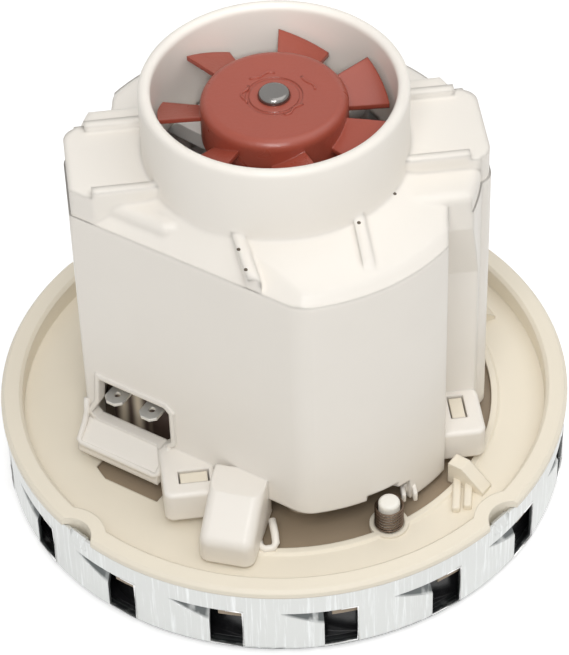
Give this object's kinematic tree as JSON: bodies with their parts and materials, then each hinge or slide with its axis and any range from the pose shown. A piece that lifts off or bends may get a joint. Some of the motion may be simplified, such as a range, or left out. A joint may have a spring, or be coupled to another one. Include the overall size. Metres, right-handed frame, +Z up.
{
  "type": "vacuum motor unit",
  "caption": "Bypass vacuum motor: sheet-metal fan casing under a moulded bowl and a latched hood, with a turning rotor, impeller and cooling fan.",
  "frame": {"origin": "centre of the suction face, on the rotor axis, at the bottom of the fan casing", "axes": "+Z up the rotor axis from the suction face to the cooling fan; +X through the carbon brushes; the terminals face between -X and -Y"},
  "size_m": [0.132, 0.132, 0.1103],
  "materials": {
    "casing_steel": "galvanised sheet with faint streaks",
    "black_plastic": "moulded, glossy",
    "bowl_plastic": "moulded, warm cream",
    "hood_plastic": "moulded, ivory white",
    "bearing_steel": "ground",
    "shaft_steel": "turned",
    "lamination_steel": "stacked laminations, varnished",
    "enamelled_copper": "enamelled wire",
    "commutator_resin": "moulded resin",
    "bar_copper": "turned copper",
    "impeller_alloy": "rolled sheet",
    "screw_steel": "zinc plated",
    "insulating_board": "pressed board",
    "bridge_plastic": "moulded, pale grey",
    "tube_brass": "drawn",
    "brush_carbon": "pressed carbon",
    "spring_steel": "spring wire, brownish",
    "block_plastic": "moulded",
    "terminal_metal": "tinned blade",
    "fan_plastic": "moulded, brick red",
    "pin_plastic": "moulded, white"
  },
  "bodies": {
    "housing": {"fan_casing": "casing_steel", "diffuser": "black_plastic", "lower_housing": "bowl_plastic", "lower_bearing_outer": "bearing_steel", "upper_bearing_outer": "bearing_steel", "stator_core": "lamination_steel", "lower_stator_insulator": "insulating_board", "upper_stator_insulator": "insulating_board", "rear_field_coil": "enamelled_copper", "front_field_coil": "enamelled_copper", "bearing_bridge": "bridge_plastic", "stator_screws": "screw_steel", "left_brush_holder": "commutator_resin", "right_brush_holder": "commutator_resin", "left_brush_tube": "tube_brass", "right_brush_tube": "tube_brass", "terminal_block": "block_plastic", "left_terminal": "terminal_metal", "right_terminal": "terminal_metal", "top_hood": "hood_plastic", "contact_spring": "spring_steel"},
    "rotor": {"shaft": "shaft_steel", "lower_bearing_inner": "bearing_steel", "upper_bearing_inner": "bearing_steel", "armature_core": "lamination_steel", "armature_winding": "enamelled_copper", "commutator_hub": "commutator_resin", "commutator_bars": "bar_copper", "impeller_front_plate": "impeller_alloy", "impeller_blades": "impeller_alloy", "impeller_back_plate": "impeller_alloy", "impeller_spacer": "shaft_steel", "impeller_washer": "screw_steel", "impeller_nut": "screw_steel", "cooling_fan": "fan_plastic"},
    "left_brush": {"left_carbon_brush": "brush_carbon", "left_brush_spring": "spring_steel"},
    "right_brush": {"right_carbon_brush": "brush_carbon", "right_brush_spring": "spring_steel"},
    "pin": {"contact_pin": "pin_plastic"}
  },
  "joints": [
    {"name": "rotor_spin", "type": "hinge", "parent": "housing", "child": "rotor", "pos_m": [0, 0, 0.05], "axis": [0, 0, 1], "continuous": true},
    {"name": "left_brush_slide", "type": "slide", "parent": "housing", "child": "left_brush", "axis": [-1, 0, 0], "range_m": [0, 0.0025], "stiffness_N_per_m": 200, "springref_m": -0.005},
    {"name": "right_brush_slide", "type": "slide", "parent": "housing", "child": "right_brush", "axis": [1, 0, 0], "range_m": [0, 0.0025], "stiffness_N_per_m": 200, "springref_m": -0.005},
    {"name": "pin_press", "type": "slide", "parent": "housing", "child": "pin", "axis": [0, 0, -1], "range_m": [0, 0.0024], "stiffness_N_per_m": 300, "springref_m": -0.002, "deforming": ["contact_spring"]}
  ]
}
